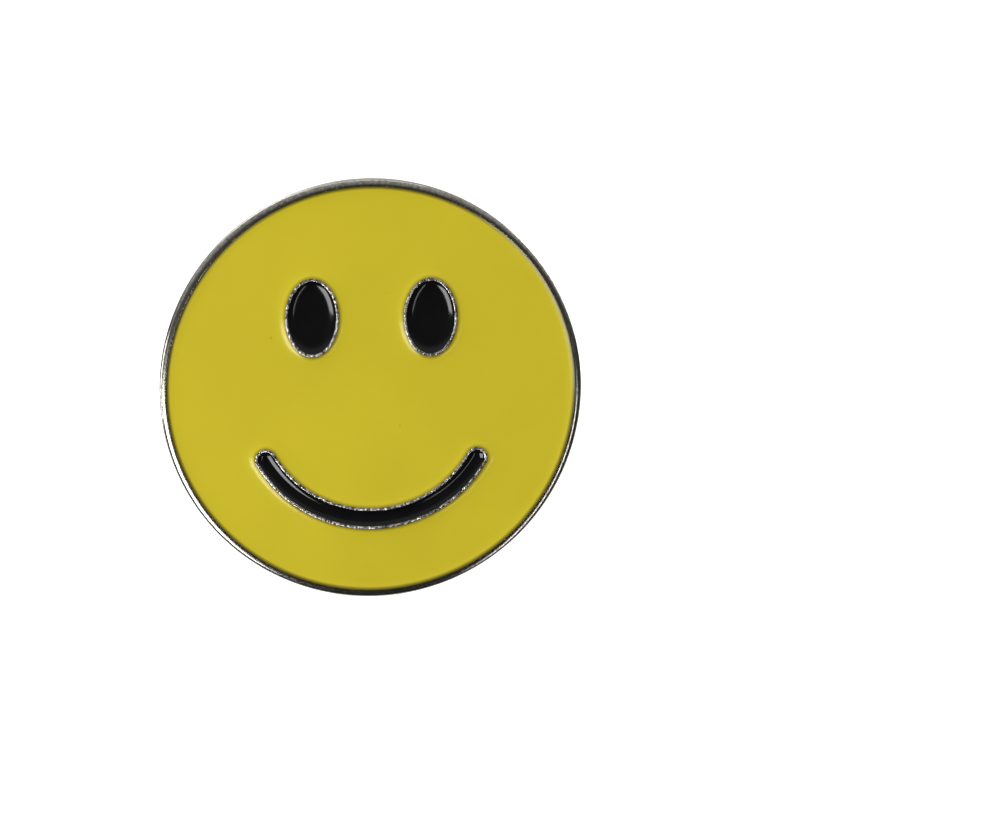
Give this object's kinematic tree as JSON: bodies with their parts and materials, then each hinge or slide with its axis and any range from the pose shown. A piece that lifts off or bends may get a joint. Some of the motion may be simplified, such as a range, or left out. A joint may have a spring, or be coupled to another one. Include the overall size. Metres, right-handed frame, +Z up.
{
  "type": "enamel lapel badge",
  "caption": "Round die-struck badge with a smiling enamel face on the front and a pin post with a sprung butterfly clutch on the back.",
  "frame": {"origin": "centre of the plate's flat back, where it lies against the cloth", "axes": "+Y out of the back along the pin post, -Y the way the face looks, +Z up as worn, +X to the right of someone who looks at the face"},
  "size_m": [0.03, 0.0099, 0.03],
  "materials": {
    "plate_nickel": "nickel plate, matt and mottled on the back, polished on the raised lines",
    "enamel_yellow": "satin gloss soft enamel",
    "enamel_black": "gloss soft enamel",
    "post_steel": "drawn and plated wire",
    "braze_alloy": "dull plated braze",
    "clutch_nickel": "bright polished nickel plate"
  },
  "bodies": {
    "badge": {"badge_plate": "plate_nickel", "enamel_field": "enamel_yellow", "enamel_eye_left": "enamel_black", "enamel_eye_right": "enamel_black", "enamel_mouth": "enamel_black", "pin_post": "post_steel", "braze_ring": "braze_alloy"},
    "clutch_hub": {"clutch_eyelet": "clutch_nickel"},
    "clutch_cup": {"clutch_dish": "clutch_nickel", "spring_base": "clutch_nickel"},
    "wing_left": {"spring_wing_left": "clutch_nickel"},
    "wing_right": {"spring_wing_right": "clutch_nickel"}
  },
  "joints": [
    {"name": "clutch_slide", "type": "slide", "parent": "badge", "child": "clutch_hub", "axis": [0, 1, 0], "range_m": [0, 0.0085]},
    {"name": "clutch_spin", "type": "hinge", "parent": "clutch_hub", "child": "clutch_cup", "pos_m": [0, 0.002, 0.004], "axis": [0, 1, 0], "continuous": true},
    {"name": "wing_left_pinch", "type": "hinge", "parent": "clutch_cup", "child": "wing_left", "pos_m": [0.00273, 0.00289, 0.00311], "axis": [-0.309, 0, -0.9511], "range_deg": [0, 5], "stiffness_Nm_per_rad": 0.002},
    {"name": "wing_right_pinch", "type": "hinge", "parent": "clutch_cup", "child": "wing_right", "pos_m": [-0.00273, 0.00289, 0.00489], "axis": [0.309, 0, 0.9511], "range_deg": [0, 5], "stiffness_Nm_per_rad": 0.002}
  ],
  "couplings": [
    {"joint": "wing_right_pinch", "follows": "wing_left_pinch", "ratio": 1}
  ]
}
